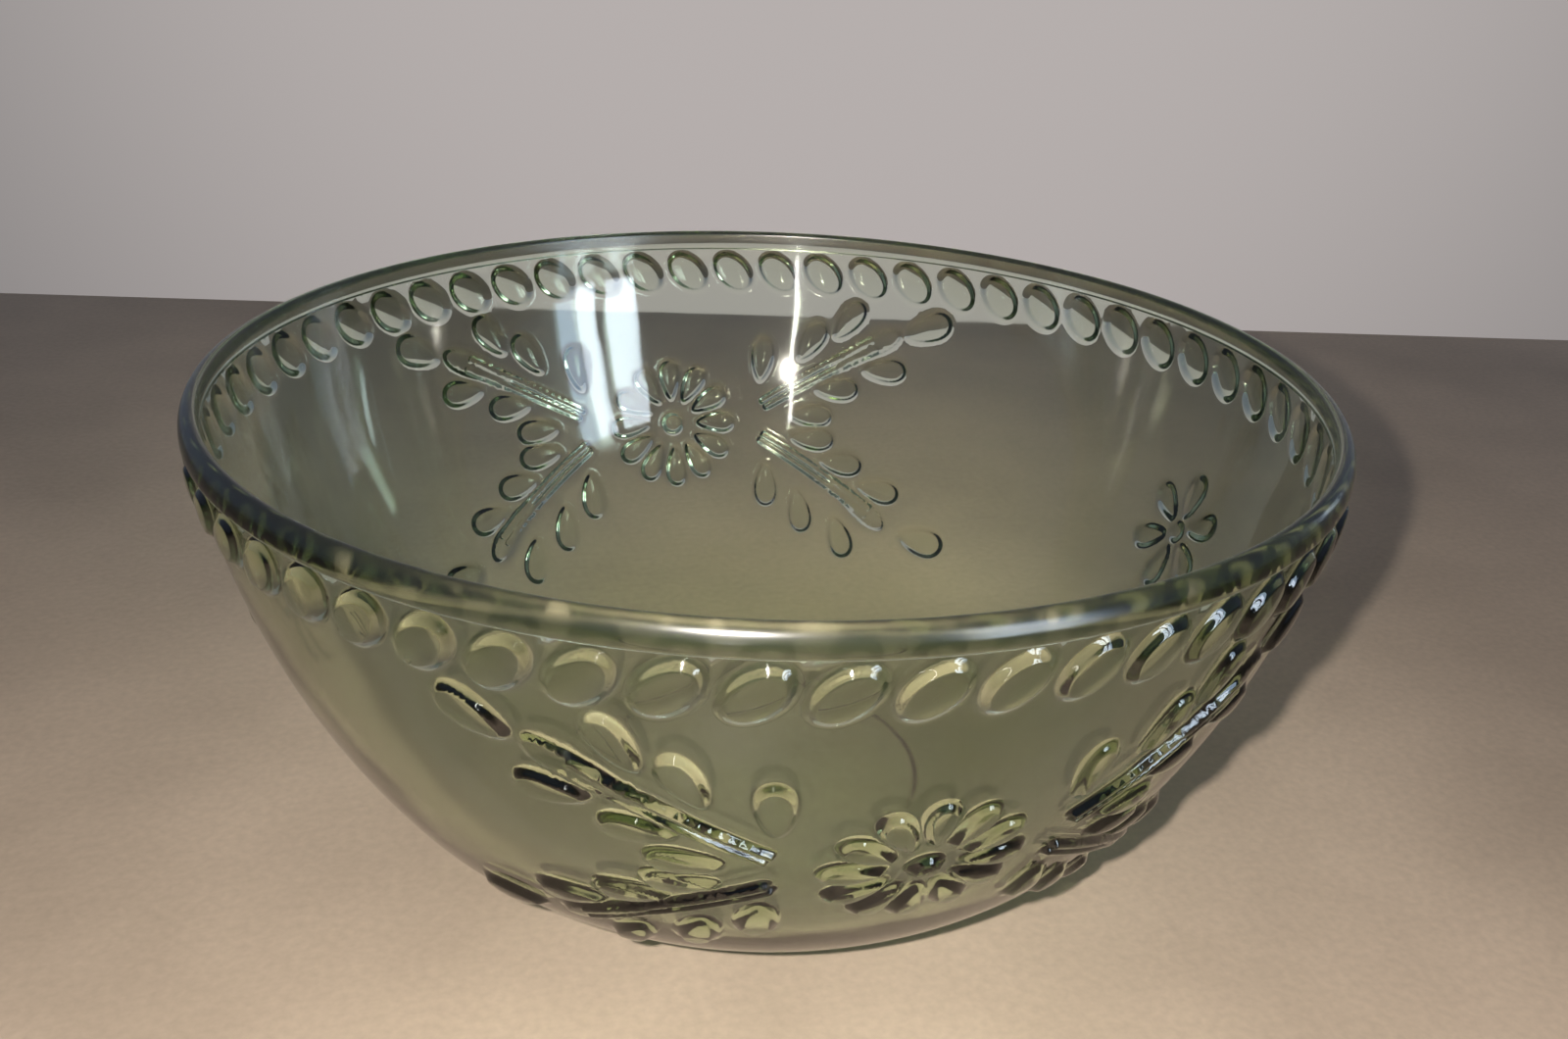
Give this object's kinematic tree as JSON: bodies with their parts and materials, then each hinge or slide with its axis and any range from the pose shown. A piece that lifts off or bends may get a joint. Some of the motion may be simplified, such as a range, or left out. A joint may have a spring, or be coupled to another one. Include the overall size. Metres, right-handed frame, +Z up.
{
  "type": "punch bowl",
  "caption": "Deep round punch bowl of pale green pressed glass, with a beaded rim, a ring of leaning raised ovals, and raised flower and leaf sprays outside.",
  "frame": {"origin": "middle of the foot, on the surface that the bowl stands on", "axes": "+Z up through the open mouth; the two big flower sprays face +Y and -Y, and the two single daisies face +X and -X"},
  "size_m": [0.26, 0.26, 0.116],
  "materials": {
    "glass": "clear pale smoke-green pressed glass, fire-polished, smooth and glossy"
  },
  "bodies": {
    "root": {"bowl": "glass"}
  },
  "joints": []
}
